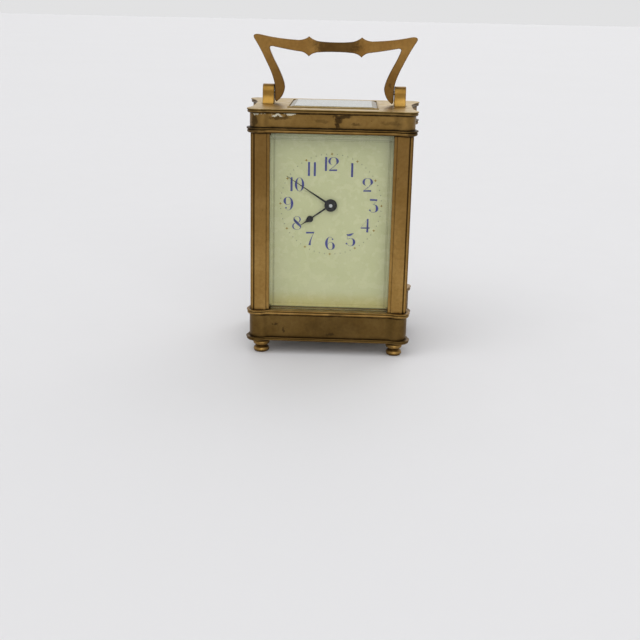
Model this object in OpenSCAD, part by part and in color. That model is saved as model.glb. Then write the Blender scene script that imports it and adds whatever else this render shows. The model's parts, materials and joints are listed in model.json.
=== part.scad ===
// Carriage clock: brass case with glazed sides, folding handle, hinged rear door
// and an eight-day movement with a platform lever escapement.
// Millimetres. +Z up, the dial faces -Y, X to the viewer's right. Base at z = 0.

/* [Case] */
// half width of the corner lobes of the mouldings
case_hw = 40.1; // [38:0.1:42]
// half depth of the corner lobes of the mouldings
case_hd = 31.0; // [28:0.1:33]
// how far the front and rear edges are set back between the lobes
front_dip = 1.4; // [0.5:0.1:2.5]
// how far the side edges are set back between the lobes
side_dip = 2.1; // [0.5:0.1:3]
// how much further the rear lobes stand out than the front ones
rear_flare = 3.0; // [0:0.1:4]
// lobe radius
lobe_r = 5.5; // [4:0.1:7]
// radius of the hollow curve that leaves each lobe
hollow_r = 5.0; // [2:0.1:8]
// radius of the long hollow on each side
side_hollow_r = 40; // [5:1:60]
// top of the feet
foot_h = 6.9; // [5:0.1:9]
// top of the bottom plate
bottom_top = 8.7; // [8:0.1:11]
// top of the plinth band
plinth_top = 20.0; // [16:0.1:24]
// top of the base moulding, where the pillars start
base_top = 22.5; // [18:0.1:27]
// underside of the cornice moulding, where the pillars end
pillar_top = 108.3; // [90:0.1:120]
// top of the cornice moulding
cornice_top = 110.9; // [93:0.1:123]
// top of the frieze band
frieze_top = 117.6; // [100:0.1:130]
// top of the top plate
plate_top = 119.6; // [102:0.1:132]
// wall of the plinth and frieze bands
band_wall = 2.4; // [1.5:0.1:4]

/* [Pillars and glass] */
// pillar section, outer face to inner return
pillar_w = 9.1; // [7:0.1:11]
// half width over the pillars
pillar_hw = 38.2; // [36:0.1:40]
// half depth over the pillars
pillar_hd = 29.0; // [26:0.1:31]
// thickness of the case glasses
glass_t = 2.0; // [1:0.1:3]
// depth of a glass behind the pillar face
glass_in = 3.2; // [2:0.1:5]
// width of the bevel round each glass
bevel_w = 3.1; // [1:0.1:5]
// depth of that bevel
bevel_d = 0.9; // [0.3:0.1:1.2]
// top window, along X
window_w = 42.0; // [30:0.5:56]
// top window, along Y
window_d = 40.0; // [30:0.5:46]

/* [Handle] */
// height of the pivot over the top plate
pivot_h = 6.0; // [5:0.1:8]
// thickness of the handle
handle_t = 3.2; // [2:0.1:5]
// pivot pin radius
handle_pin_r = 0.9; // [0.6:0.05:1.5]
// inner face of each knuckle post
post_in = 29.2; // [28:0.1:31]
// outer face of each knuckle post
post_out = 34.7; // [33:0.1:37]

/* [Dial and hands] */
// height of the hands' axis
dial_z = 73.8; // [68:0.1:80]
// front face of the dial
dial_face = -19.5; // [-21:0.1:-18]
// dial plate thickness
dial_t = 1.6; // [0.8:0.1:2]
// minute hand, axis to tip
minute_len = 25.4; // [22:0.1:28]
// hour hand, axis to tip
hour_len = 17.8; // [14:0.1:20]
// minute hand at rest, degrees clockwise from 12
minute_deg = 302.6; // [0:0.1:360]
// hour hand at rest, degrees clockwise from 12
hour_deg = 234.6; // [0:0.1:360]

/* [Movement] */
// half width of the movement plates
mv_hw = 27.0; // [25:0.5:28]
// top of the movement plates
mv_top = 98.0; // [95:0.5:100]
// outer face of the front plate
fp_out = -14.0; // [-15:0.1:-13]
// outer face of the back plate
bp_out = 12.0; // [11:0.1:14]
// thickness of both plates
mv_t = 1.6; // [1:0.1:2]
// radial clearance of a pivot in its hole
run = 0.04; // [0.02:0.01:0.1]

/* [Hidden] */
$fn = 96;
stud_x = pillar_hw - 5.2;
stud_y = pillar_hd - 5.2;
stud_r = 1.25;
stud_top = 34;
fp_in = fp_out + mv_t;
bp_in = bp_out - mv_t;
dial_back = dial_face + dial_t;
pillar_cx = mv_hw - 4;
pillar_lo = 29;
pillar_hi = 92.5;
// tooth counts and modules of the going train
barrel_n = 84;
inter_pn = 10;
inter_n = 66;
centre_pn = 10;
centre_n = 80;
third_pn = 8;
third_n = 70;
contrate_pn = 7;
contrate_n = 42;
escape_pn = 7;
m_great = 0.42;
m_inter = 0.38;
m_centre = 0.27;
m_third = 0.28;
// motion work
cannon_n = 12;
minute_n = 36;
minute_pn = 10;
hour_n = 40;
m_cannon = 0.30;
m_hour = 0.288;
motion_d = 7.2;
motion_deg = 140;
minute_w = [motion_d * cos(motion_deg), dial_z + motion_d * sin(motion_deg)];
// arbor places in X and Z
centre = [0, dial_z];
inter_deg = -30;
great_deg = -122;
d_inter = m_inter * (inter_n + centre_pn) / 2;
d_great = m_great * (barrel_n + inter_pn) / 2;
d_third = m_centre * (centre_n + third_pn) / 2;
d_contrate = m_third * (third_n + contrate_pn) / 2;
inter = centre + d_inter * [cos(inter_deg), sin(inter_deg)];
barrel_c = inter + d_great * [cos(great_deg), sin(great_deg)];
contrate = [8.5, 90.6];
third = meet(centre, d_third, contrate, d_contrate);
crown_r = 6.5;
crown_tip = -1.0;
crown_face = -2.4;
escape_y = -0.2;
escape_x = contrate[0];
lever_x = escape_x - 4.3;
balance_x = -3.0;
// platform levels
plat_lo = mv_top;
plat_hi = plat_lo + 1.6;
escape_z = 100.7;
balance_z = 103.2;
cock_z = 105.8;
drum_r = 12.5;
ratchet_n = 24;
ratchet_r = 5.2;
click_c = barrel_c + [-9.4, 1.2];
spring_screw = click_c + [1.2, -11];
// radii of the pins, screws and fine pivots that more than one piece shares
door_pin_r = 0.8;
shank_r = 0.5;
fine_r = 0.3;
pin_end = post_in - 3;
knuckle_r = 3.3;
steady_r = 1.0;
// rear door: half width, thickness, rail width and how far the glass goes into a rail
door_hw = 28.8;
door_t = 3.2;
door_rail = 4.2;
door_lap = 1.0;
door_pin = [door_hw - door_t / 2, 27.2];
door_lo = base_top + 0.3;
door_hi = pillar_top - 0.3;
bridge_z = 102.0;

// the meeting point, towards -X, of two circles
function meet(a, ra, b, rb) =
    let(d = norm(b - a), u = (b - a) / d, k = (ra * ra - rb * rb + d * d) / (2 * d))
    a + k * u + sqrt(ra * ra - k * k) * [-u[1], u[0]];
function dir_of(a, b) = atan2(b[1] - a[1], b[0] - a[0]);
function bez(a, b, c, n = 8) =
    [for (i = [0:n]) let(t = i / n) (1 - t) * (1 - t) * a + 2 * t * (1 - t) * b + t * t * c];
function mirrored(p) = [for (i = [len(p) - 1:-1:0]) [-p[i][0], p[i][1]]];

brass = [0.64, 0.47, 0.24];
polished = [0.80, 0.62, 0.28];
steel = [0.62, 0.63, 0.66];
blued = [0.12, 0.14, 0.25];
black = [0.05, 0.05, 0.06];
enamel = [0.90, 0.90, 0.80];
clear = [0.75, 0.85, 0.82, 0.35];

// ---- helpers ----

// extrudes a drawing in X and Z from y0 back to y1
module along_y(y0, y1) {
    translate([0, y1, 0])
        rotate([90, 0, 0])
            linear_extrude(y1 - y0)
                children();
}

// a round bar along Y at a place in X and Z
module bar_y(c, r, y0, y1) {
    translate([c[0], y1, c[1]])
        rotate([90, 0, 0])
            cylinder(h = y1 - y0, r = r);
}

// a square bar along Y
module square_y(c, w, y0, y1) {
    translate([c[0] - w / 2, y0, c[1] - w / 2])
        cube([w, y1 - y0, w]);
}

// points round one corner of a moulding's plan, seen from its lobe's centre: the hollow beside
// the front or rear edge, the lobe, and the long hollow beside the side edge
function corner_points(set_back) =
    let(s = lobe_r + hollow_r, t = lobe_r + side_hollow_r,
        a = acos(1 - front_dip / s), b = acos(1 - set_back / t),
        p = s * [-sin(a), cos(a)], q = t * [cos(b), -sin(b)])
    concat([for (i = [0:4]) p + hollow_r * [sin(a * i / 4), -cos(a * i / 4)]],
        [for (i = [1:23]) let(c = 90 + a - i * (90 + a + b) / 24) lobe_r * [cos(c), sin(c)]],
        [for (i = [6:-1:0]) q + side_hollow_r * [-cos(b * i / 6), sin(b * i / 6)]]);

// plan of a moulding: four round lobes joined by edges that are set back
module lobed(grow = 0) {
    hw = case_hw + grow - lobe_r;
    hd = case_hd + grow - lobe_r;
    front = [for (p = corner_points(side_dip)) [hw + p[0], -hd - p[1]]];
    rear = [for (p = corner_points(side_dip + rear_flare)) [hw + rear_flare + p[0], hd + p[1]]];
    half = concat(rear, [for (i = [len(front) - 1:-1:0]) front[i]]);
    polygon(concat(half, mirrored(half)));
}

// a rounded moulding strip as three thin steps
module bead(z0, z1, grow = 0, ease = 0.4) {
    h = z1 - z0;
    for (s = [[0, 0.26, -ease], [0.26, 0.74, 0], [0.74, 1, -ease]])
        translate([0, 0, z0 + h * s[0]])
            linear_extrude(h * (s[1] - s[0]))
                lobed(grow + s[2]);
}

// gear outline; width is the tooth's share of the pitch, lead the angle of one tooth
module gear2d(n, m, width, lead, head = 0.9, foot = 1.2) {
    r = n * m / 2;
    p = 360 / n;
    tip = r + head * m;
    root = r - foot * m;
    polygon([for (i = [0:n - 1], k = [[root, -0.62], [r, -0.5], [tip, -0.22],
        [tip, 0.22], [r, 0.5], [root, 0.62]])
        let(a = lead + i * p + k[1] * width * p) [k[0] * cos(a), k[0] * sin(a)]]);
}

// wheel with a rim, a hub and spokes
module wheel2d(n, m, lead, rim, hub, spokes, width = 0.42) {
    r = n * m / 2 - 1.2 * m - rim;
    difference() {
        gear2d(n, m, width, lead);
        circle(r = r);
    }
    circle(r = hub);
    for (i = [0:spokes - 1])
        rotate(lead + i * 360 / spokes)
            translate([0, -rim / 2])
                square([r + rim / 2, rim]);
}

// an arbor along Y with a pivot at each end
module arbor(c, r, pivot_r, y0 = fp_in, y1 = bp_in) {
    bar_y(c, r, y0 + 0.15, y1 - 0.15);
    bar_y(c, pivot_r, y0 - mv_t, y1 + mv_t);
}

// carries a drawing to a place in X and Z
module at_xz(c) {
    translate([c[0], c[1]])
        children();
}

// slotted screw head with its shank below, standing on z = 0
module screw(head_r, head_h, shank_r, shank_l) {
    difference() {
        cylinder(h = head_h, r = head_r);
        translate([-head_r - 1, -0.3, head_h * 0.5])
            cube([2 * head_r + 2, 0.6, head_h]);
    }
    translate([0, 0, -shank_l])
        cylinder(h = shank_l + 0.01, r = shank_r);
}

// ---- case ----

// the four axes on which the feet and their long studs stand
module at_studs() {
    for (sx = [-1, 1], sy = [-1, 1])
        translate([sx * stud_x, sy * stud_y, 0])
            children();
}

module bottom_plate() {
    color(brass)
        difference() {
            bead(foot_h, bottom_top, 0.3, 0.3);
            at_studs()
                translate([0, 0, foot_h - 1])
                    cylinder(h = 4, r = stud_r + 0.05);
        }
}

// turned foot with two beads; its stud runs up through the base into a pillar
module foot(sx, sy) {
    color(brass)
        translate([sx * stud_x, sy * stud_y, 0]) {
            rotate_extrude()
                polygon([[0, 0], [2.9, 0], [3.6, 0.5], [3.9, 1.4], [3.6, 2.3], [2.9, 2.8],
                    [2.5, 3.2], [2.9, 3.6], [3.8, 4.0], [4.1, 4.9], [3.8, 5.8], [3.2, 6.3],
                    [3.2, 6.9], [0, 6.9]]);
            translate([0, 0, foot_h - 0.01])
                cylinder(h = stud_top - foot_h, r = stud_r);
        }
}

module foot_front_left() { foot(-1, -1); }
module foot_front_right() { foot(1, -1); }
module foot_rear_left() { foot(-1, 1); }
module foot_rear_right() { foot(1, 1); }

module band(z0, z1, grow) {
    difference() {
        translate([0, 0, z0])
            linear_extrude(z1 - z0)
                lobed(grow);
        translate([0, 0, z0 - 1])
            linear_extrude(z1 - z0 + 2)
                square([2 * (case_hw + grow - side_dip - band_wall),
                    2 * (case_hd + grow - front_dip - band_wall)], center = true);
    }
}

module plinth_band() {
    color(brass)
        difference() {
            band(bottom_top, plinth_top, -1.3);
            at_studs()
                translate([0, 0, bottom_top - 1])
                    cylinder(h = plinth_top, r = stud_r + 0.05);
        }
}

module base_moulding() {
    color(brass)
        difference() {
            bead(plinth_top, base_top);
            at_studs()
                translate([0, 0, plinth_top - 1])
                    cylinder(h = 6, r = stud_r + 0.05);
            translate([door_pin[0], door_pin[1], base_top - 1.6])
                cylinder(h = 4, r = door_pin_r + run);
            at_movement_screws()
                translate([0, 0, plinth_top - 1])
                    cylinder(h = 6, r = shank_r);
        }
}

// plan of a pillar in the quadrant with both coordinates measured inwards
module pillar2d() {
    w = pillar_w;
    difference() {
        union() {
            translate([0.6, 0.6])
                square([w - 0.6, w - 0.6]);
            translate([2.1, 0])
                square([5.5, 1]);
            translate([0, 2.1])
                square([1, 5.5]);
        }
        translate([1.5, 0])
            square([0.6, 1.4]);
        translate([0, 1.5])
            square([1.4, 0.6]);
        translate([w - 1.2, glass_in - 0.1])
            square([2, glass_t + 0.2]);
        translate([glass_in - 0.1, w - 1.2])
            square([glass_t + 0.2, 2]);
    }
}

module pillar(sx, sy) {
    color(brass)
        difference() {
            mirror([sx > 0 ? 1 : 0, 0, 0])
                mirror([0, sy > 0 ? 1 : 0, 0])
                    translate([-pillar_hw, -pillar_hd, base_top])
                        linear_extrude(pillar_top - base_top)
                            pillar2d();
            translate([sx * stud_x, sy * stud_y, base_top - 1])
                cylinder(h = stud_top - base_top + 2, r = stud_r + 0.05);
        }
}

module pillar_front_left() { pillar(-1, -1); }
module pillar_front_right() { pillar(1, -1); }
module pillar_rear_left() { pillar(-1, 1); }
module pillar_rear_right() { pillar(1, 1); }

module cornice_moulding() {
    color(brass)
        difference() {
            bead(pillar_top, cornice_top, 0.1);
            translate([0, 0, pillar_top + 1])
                cube([56, 46, 8], center = true);
            translate([door_pin[0], door_pin[1], pillar_top - 1])
                cylinder(h = 2.6, r = door_pin_r + run);
        }
}

module frieze_band() {
    color(brass)
        band(cornice_top, frieze_top, -1.3);
}

// seat for the top glass, drawn in plan
module window2d(extra = 0) {
    square([window_w + 2 * extra, window_d + 2 * extra], center = true);
}

module top_plate() {
    color(brass)
        difference() {
            union() {
                bead(frieze_top, plate_top, 0, 0.25);
                translate([0, 0, plate_top - 0.1])
                    linear_extrude(0.6)
                        window2d(0.5);
            }
            translate([0, 0, frieze_top - 1])
                linear_extrude(6)
                    window2d(-0.8);
            translate([0, 0, plate_top - 1.2])
                linear_extrude(6)
                    window2d();
            for (sx = [-1, 1])
                translate([sx * (post_in + post_out) / 2, 0, plate_top - 1.5])
                    cylinder(h = 4, r = 1.2);
        }
}

module top_glass() {
    w = window_w - 0.1;
    d = window_d - 0.1;
    color(clear)
        difference() {
            translate([-w / 2, -d / 2, plate_top - 1.2])
                cube([w, d, 1.9]);
            for (a = [0, 90, 180, 270])
                rotate(a)
                    translate([(a % 180 == 0 ? w : d) / 2 - 2.6, -40, plate_top + 0.7])
                        rotate([0, 14, 0])
                            cube([6, 80, 2]);
        }
}

// upright glass in the X and Z plane, bevelled on the side that faces -Y
module pane(w, h) {
    tilt = atan(bevel_d / bevel_w);
    difference() {
        translate([-w / 2, 0, 0])
            cube([w, glass_t, h]);
        for (s = [-1, 1])
            translate([s * (w / 2 - bevel_w), 0, -1])
                rotate([0, 0, s * tilt])
                    translate([s > 0 ? 0 : -2 * bevel_w, -2, 0])
                        cube([2 * bevel_w, 2, h + 2]);
        translate([-w, 0, bevel_w])
            rotate([tilt, 0, 0])
                translate([0, -2, -2 * bevel_w])
                    cube([2 * w, 2, 2 * bevel_w]);
        translate([-w, 0, h - bevel_w])
            rotate([-tilt, 0, 0])
                translate([0, -2, 0])
                    cube([2 * w, 2, 2 * bevel_w]);
    }
}

module front_glass() {
    color(clear)
        translate([0, -pillar_hd + glass_in, base_top + 0.05])
            pane(2 * (pillar_hw - pillar_w + 1.05), pillar_top - base_top - 0.1);
}

module side_glass() {
    translate([-pillar_hw + glass_in, 0, base_top + 0.05])
        rotate([0, 0, -90])
            pane(2 * (pillar_hd - pillar_w + 1.05), pillar_top - base_top - 0.1);
}

module left_glass() {
    color(clear)
        side_glass();
}

module right_glass() {
    color(clear)
        mirror([1, 0, 0])
            side_glass();
}

// screws that come up through the base moulding into the movement plates
module at_movement_screws() {
    for (x = [-18, 18], y = [fp_out + mv_t / 2, bp_out - mv_t / 2])
        translate([x, y, 0])
            children();
}

module movement_screws() {
    color(steel)
        at_movement_screws()
            translate([0, 0, plinth_top])
                mirror([0, 0, 1])
                    screw(1.8, 1.0, shank_r - run, 6);
}

// ---- handle ----

// knuckle post: flared foot, straight neck and round top that holds the pin
module post2d() {
    difference() {
        union() {
            translate([0, pivot_h])
                circle(r = knuckle_r);
            translate([-knuckle_r, 0])
                square([2 * knuckle_r, pivot_h]);
            polygon(concat(bez([knuckle_r, 4.2], [knuckle_r + 0.1, 1.4], [5.0, 0]),
                bez([-5.0, 0], [-knuckle_r - 0.1, 1.4], [-knuckle_r, 4.2])));
        }
        translate([0, pivot_h])
            circle(r = handle_pin_r);
    }
}

module post(s) {
    color(polished) {
        translate([s > 0 ? post_in : -post_out, 0, plate_top])
            rotate([90, 0, 90])
                linear_extrude(post_out - post_in)
                    post2d();
        translate([s * (post_in + post_out) / 2, 0, plate_top - 1.4])
            cylinder(h = 1.5, r = 1.2 - run);
    }
}

module post_left() { post(-1); }
module post_right() { post(1); }

// pins fixed in the posts; each ends inside a leg of the handle
module handle_pins() {
    color(steel)
        for (s = [0, 1])
            mirror([s, 0, 0])
                translate([pin_end, 0, plate_top + pivot_h])
                    rotate([0, 90, 0])
                        cylinder(h = post_out - pin_end, r = handle_pin_r - 0.001);
}

// right half of the handle, from the middle of the top edge round to the bottom edge
handle_half = concat(
    bez([0, 29.3], [6, 29.3], [8.6, 29.8]),
    bez([8.6, 29.8], [11.2, 30.5], [12.7, 31.9]),
    bez([12.7, 31.9], [14.2, 30.4], [17.6, 30.1]),
    bez([17.6, 30.1], [28, 30.5], [36.4, 32.4]),
    bez([36.4, 32.4], [40.4, 33.0], [38.9, 30.3], 8),
    bez([38.9, 30.3], [36.0, 26.0], [33.1, 19.8]),
    bez([33.1, 19.8], [30.2, 14.4], [29.1, 9.7]),
    bez([29.1, 9.7], [28.8, 6.3], [28.9, 3.2]),
    bez([28.9, 3.2], [28.9, 1.4], [28.1, 0.9], 4),
    bez([28.1, 0.9], [24.6, 3.1], [24.1, 7.8]),
    bez([24.1, 7.8], [24.2, 11.0], [28.0, 18.3]),
    bez([28.0, 18.3], [30.3, 22.3], [31.6, 26.0]),
    bez([31.6, 26.0], [31.8, 27.1], [30.1, 27.0], 5),
    bez([30.1, 27.0], [22, 25.4], [16.1, 24.7]),
    bez([16.1, 24.7], [13.9, 24.1], [12.7, 22.5]),
    bez([12.7, 22.5], [11.4, 24.0], [8.8, 24.5]),
    bez([8.8, 24.5], [5, 24.9], [0, 24.9]));

module handle() {
    color(brass)
        difference() {
            translate([0, handle_t / 2, plate_top])
                rotate([90, 0, 0])
                    linear_extrude(handle_t)
                        polygon(concat(handle_half, mirrored(handle_half)));
            for (s = [0, 1])
                mirror([s, 0, 0])
                    translate([pin_end - 0.1, 0, plate_top + pivot_h])
                        rotate([0, 90, 0])
                            cylinder(h = 12, r = handle_pin_r + 0.05);
        }
}

// ---- rear door ----

module door_frame() {
    y0 = door_pin[1] - door_t / 2;
    h = door_hi - door_lo;
    open_w = 2 * (door_hw - door_rail);
    open_h = h - 2 * door_rail;
    color(brass) {
        difference() {
            union() {
                translate([-door_hw, y0, door_lo])
                    cube([door_hw + door_pin[0], door_t, h]);
                translate([door_pin[0], door_pin[1], door_lo])
                    cylinder(h = h, r = door_t / 2);
            }
            translate([-open_w / 2, y0 - 1, door_lo + door_rail])
                cube([open_w, door_t + 2, open_h]);
            translate([-open_w / 2 - door_lap, y0 - 1, door_lo + door_rail - door_lap])
                cube([open_w + 2 * door_lap, 2.7, open_h + 2 * door_lap]);
            translate([-door_hw + door_rail / 2, y0 - 1, dial_z])
                rotate([-90, 0, 0])
                    cylinder(h = door_t + 2, r = door_pin_r);
        }
        for (z = [base_top - 1.5, door_hi - 0.1])
            translate([door_pin[0], door_pin[1], z])
                cylinder(h = 1.9, r = door_pin_r);
    }
}

module door_glass() {
    inset = door_rail - door_lap + 0.05;
    color(clear)
        translate([-door_hw + inset, door_pin[1] - door_t / 2 + 0.1, door_lo + inset])
            cube([2 * (door_hw - inset), 1.55, door_hi - door_lo - 2 * inset]);
}

module door_knob() {
    color(polished)
        translate([-door_hw + door_rail / 2, door_pin[1] + door_t / 2, dial_z])
            rotate([-90, 0, 0]) {
                rotate_extrude()
                    polygon([[0, 0], [1.7, 0], [1.1, 0.5], [1.0, 0.9], [1.9, 1.2], [2.1, 1.6],
                        [1.9, 2.0], [0, 2.15]]);
                translate([0, 0, -door_t])
                    cylinder(h = door_t + 0.01, r = door_pin_r - run);
            }
}

// ---- movement frame ----

module pivot_holes(list) {
    for (h = list)
        at_xz(h[0])
            circle(r = h[1] + run);
}

// the four pillars' places, as a drawing in X and Z
module at_pillars() {
    for (x = [-pillar_cx, pillar_cx], z = [pillar_lo, pillar_hi])
        translate([x, z])
            children();
}

// the same places for solids whose own Z runs along +Y from y
module on_pillars(y) {
    for (x = [-pillar_cx, pillar_cx], z = [pillar_lo, pillar_hi])
        translate([x, y, z])
            rotate([-90, 0, 0])
                children();
}

// movement plate with the holes that both plates share
module plate(y0, y1) {
    difference() {
        along_y(y0, y1)
            difference() {
                translate([-mv_hw, base_top])
                    square([2 * mv_hw, mv_top - base_top]);
                pivot_holes([[centre, 0.8], [inter, 0.6], [third, 0.45], [contrate, 0.45],
                    [barrel_c, 1.8]]);
                at_pillars()
                    circle(r = 1.1);
            }
        at_movement_screws()
            translate([0, 0, base_top - 1])
                cylinder(h = 5, r = shank_r);
        at_platform_screws()
            translate([0, 0, mv_top - 3])
                cylinder(h = 4, r = shank_r);
    }
}

module front_plate() {
    color(brass) {
        difference() {
            plate(fp_out, fp_in);
            for (x = [-20, 20])
                bar_y([x, 50], steady_r, fp_out - 1, fp_in + 1);
        }
        bar_y(minute_w, 0.5 - run, -17.2, fp_out + 0.01);
    }
}

module back_plate() {
    color(brass)
        difference() {
            plate(bp_in, bp_out);
            bar_y(click_c, 0.7, bp_in - 1, bp_out + 1);
            bar_y(spring_screw, 0.6, bp_in - 1, bp_out + 1);
        }
}

// turned pillar with a collar at each end, a stub in the front plate and a
// screw hole in its rear end
module movement_pillars() {
    l = bp_in - fp_in - 0.001;
    color(brass)
        on_pillars(fp_in) {
            difference() {
                rotate_extrude()
                    polygon([[0, 0], [2.8, 0], [2.8, 1.6], [2.2, 2.0], [2.0, 4.2],
                        [2.0, l - 4.2], [2.2, l - 2.0], [2.8, l - 1.6], [2.8, l], [0, l]]);
                translate([0, 0, l - 5])
                    cylinder(h = 6, r = 1.0);
            }
            translate([0, 0, -mv_t])
                cylinder(h = mv_t + 0.01, r = 1.1 - run);
        }
}

module pillar_screws() {
    color(blued)
        on_pillars(bp_out)
            screw(2.3, 1.2, 1.0 - run, 5);
}

// enamel plate that fills the front opening, held by two feet in the front plate
module dial() {
    color(enamel) {
        along_y(dial_face, dial_back)
            difference() {
                translate([-30.5, base_top + 0.1])
                    square([61, pillar_top - base_top - 0.2]);
                at_xz(centre)
                    circle(r = 2.5);
            }
        for (x = [-20, 20])
            bar_y([x, 50], steady_r - run, dial_back - 0.01, fp_in - 0.3);
    }
}

// ---- winding and barrel ----

module barrel_arbor() {
    color(steel) {
        bar_y(barrel_c, 2.6, -9.0, 4.0);
        bar_y(barrel_c, 1.8, fp_out, bp_out);
        square_y(barrel_c, 2.2, bp_out - 0.1, 20.5);
    }
}

module ratchet2d() {
    p = 360 / ratchet_n;
    polygon([for (i = [0:ratchet_n - 1], k = [[ratchet_r, 0], [ratchet_r - 0.9, 0.1]])
        let(a = (i + k[1]) * p + 5) [k[0] * cos(a), k[0] * sin(a)]]);
}

module ratchet_wheel() {
    color(steel)
        along_y(bp_out + 0.2, bp_out + 1.4)
            at_xz(barrel_c)
                difference() {
                    ratchet2d();
                    square(2.2, center = true);
                }
}

// pawl on its own screw; the tip stands just clear of the ratchet teeth
module click() {
    color(steel)
        difference() {
            along_y(bp_out + 0.2, bp_out + 1.4)
                at_xz(click_c)
                    union() {
                        circle(r = 1.7);
                        polygon([[-1.2, 1.3], [-1.5, -0.8], [-0.5, -3.4], [0.6, -3.4],
                            [1.5, -0.9], [2.9, 0.2], [4.3, 0.45], [2.2, 1.9]]);
                    }
            bar_y(click_c, 0.7 + run, bp_out - 1, bp_out + 4);
        }
}

// flat spring beside the click's tail
module click_spring() {
    color(blued)
        difference() {
            along_y(bp_out + 0.05, bp_out + 1.2)
                at_xz(click_c)
                    polygon([[1.15, -2.7], [1.2, -6.5], [-0.2, -9.8], [-0.2, -12.2],
                        [2.6, -12.2], [2.6, -9.8], [1.75, -6.5], [1.6, -2.7]]);
            bar_y(spring_screw, 0.6, bp_out - 1, bp_out + 3);
        }
}

// the click's shouldered screw and the screw of its spring
module click_screws() {
    color(blued) {
        translate([spring_screw[0], bp_out + 1.25, spring_screw[1]])
            rotate([-90, 0, 0])
                screw(1.2, 0.7, 0.55, 2.6);
        translate([click_c[0], bp_out + 1.6, click_c[1]])
            rotate([-90, 0, 0])
                screw(1.6, 0.7, 0.7 - run, 3);
    }
}

module barrel() {
    lead = dir_of(barrel_c, inter);
    color(brass)
        difference() {
            union() {
                along_y(-11.6, -10.2)
                    at_xz(barrel_c)
                        gear2d(barrel_n, m_great, 0.42, lead);
                bar_y(barrel_c, drum_r, -10.3, 4.6);
            }
            bar_y(barrel_c, drum_r - 0.8, -9.2, 6);
            bar_y(barrel_c, 1.8 + run, -12, -8);
        }
}

module barrel_cover() {
    color(brass)
        difference() {
            union() {
                bar_y(barrel_c, drum_r, 4.65, 5.3);
                bar_y(barrel_c, drum_r - 0.85, 4.2, 4.7);
            }
            bar_y(barrel_c, 1.8 + run, 3, 6);
        }
}

// flat spiral strip between two radii
module spiral2d(r0, r1, turns, t, steps = 24) {
    n = turns * steps;
    function rad(i) = r0 + (r1 - r0) * i / n;
    polygon(concat(
        [for (i = [0:n]) (rad(i) - t / 2) * [cos(360 * i / steps), sin(360 * i / steps)]],
        [for (i = [n:-1:0]) (rad(i) + t / 2) * [cos(360 * i / steps), sin(360 * i / steps)]]));
}

module mainspring() {
    color(steel)
        along_y(-8.8, 3.8)
            at_xz(barrel_c)
                spiral2d(3.2, drum_r - 1.1, 8, 0.35);
}

// ---- going train ----

module intermediate_wheel() {
    color(brass) {
        along_y(6.6, 7.6)
            at_xz(inter)
                wheel2d(inter_n, m_inter, dir_of(inter, centre), 1.6, 2.6, 5);
        along_y(-11.9, -9.3)
            at_xz(inter)
                gear2d(inter_pn, m_great, 0.34, dir_of(inter, barrel_c) + 180 / inter_pn);
        arbor(inter, 0.9, 0.6);
    }
}

module centre_wheel() {
    color(brass)
        difference() {
            union() {
                along_y(-8.0, -7.0)
                    at_xz(centre)
                        wheel2d(centre_n, m_centre, dir_of(centre, third), 1.5, 2.4, 4);
                bar_y(centre, 1.45, -8.6, 8.6);
                along_y(5.8, 8.4)
                    at_xz(centre)
                        gear2d(centre_pn, m_inter, 0.34,
                            dir_of(centre, inter) + 180 / centre_pn);
            }
            bar_y(centre, 0.95 + run, -10, 10);
        }
}

module third_wheel() {
    color(brass) {
        along_y(2.0, 2.8)
            at_xz(third)
                wheel2d(third_n, m_third, dir_of(third, contrate), 1.4, 1.9, 4);
        along_y(-8.8, -6.2)
            at_xz(third)
                gear2d(third_pn, m_centre, 0.32, dir_of(third, centre) + 180 / third_pn);
        arbor(third, 0.6, 0.45);
    }
}

// crown wheel: the teeth stand out towards +Y and drive the upright escape pinion
module contrate_wheel() {
    p = 360 / contrate_n;
    color(brass) {
        along_y(crown_face - 0.6, crown_face)
            at_xz(contrate) {
                difference() {
                    circle(r = crown_r + 0.45);
                    circle(r = crown_r - 0.9);
                }
                circle(r = 1.7);
                for (a = [45:90:315])
                    rotate(a)
                        translate([0, -0.6])
                            square([crown_r - 0.6, 1.2]);
            }
        along_y(crown_face - 0.1, crown_tip)
            at_xz(contrate)
                for (i = [0:contrate_n - 1])
                    rotate(90 + i * p)
                        polygon([[crown_r - 0.4, -0.17], [crown_r + 0.4, -0.17],
                            [crown_r + 0.4, 0.17], [crown_r - 0.4, 0.17]]);
        along_y(1.1, 3.7)
            at_xz(contrate)
                gear2d(contrate_pn, m_third, 0.32, dir_of(contrate, third) + 180 / contrate_pn);
        arbor(contrate, 0.55, 0.45);
    }
}

// ---- hands and motion work ----

module centre_arbor() {
    color(steel) {
        bar_y(centre, 0.95, fp_in + 0.15, bp_in - 0.15);
        bar_y(centre, 0.8, -22.9, bp_in + 2.3);
        square_y(centre, 1.6, bp_out + 0.6, 19.0);
    }
}

module cannon_pinion() {
    color(steel)
        difference() {
            union() {
                along_y(-15.2, -14.2)
                    at_xz(centre)
                        gear2d(cannon_n, m_cannon, 0.36,
                            dir_of(centre, minute_w) + 180 / cannon_n);
                bar_y(centre, 1.2, -21.2, -15.1);
            }
            bar_y(centre, 0.801, -23, -14);
        }
}

module minute_wheel() {
    color(brass)
        difference() {
            union() {
                along_y(-15.0, -14.4)
                    at_xz(minute_w)
                        gear2d(minute_n, m_cannon, 0.40, dir_of(minute_w, centre));
                along_y(-16.8, -14.9)
                    at_xz(minute_w)
                        gear2d(minute_pn, m_hour, 0.34,
                            dir_of(minute_w, centre) + 180 / minute_pn);
            }
            bar_y(minute_w, 0.5, -18, -14);
        }
}

module hour_wheel() {
    color(brass)
        difference() {
            union() {
                along_y(-16.7, -15.9)
                    at_xz(centre)
                        gear2d(hour_n, m_hour, 0.40, dir_of(centre, minute_w));
                bar_y(centre, 1.7, -20.7, -16.6);
            }
            bar_y(centre, 1.2 + run, -21, -15);
        }
}

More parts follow.
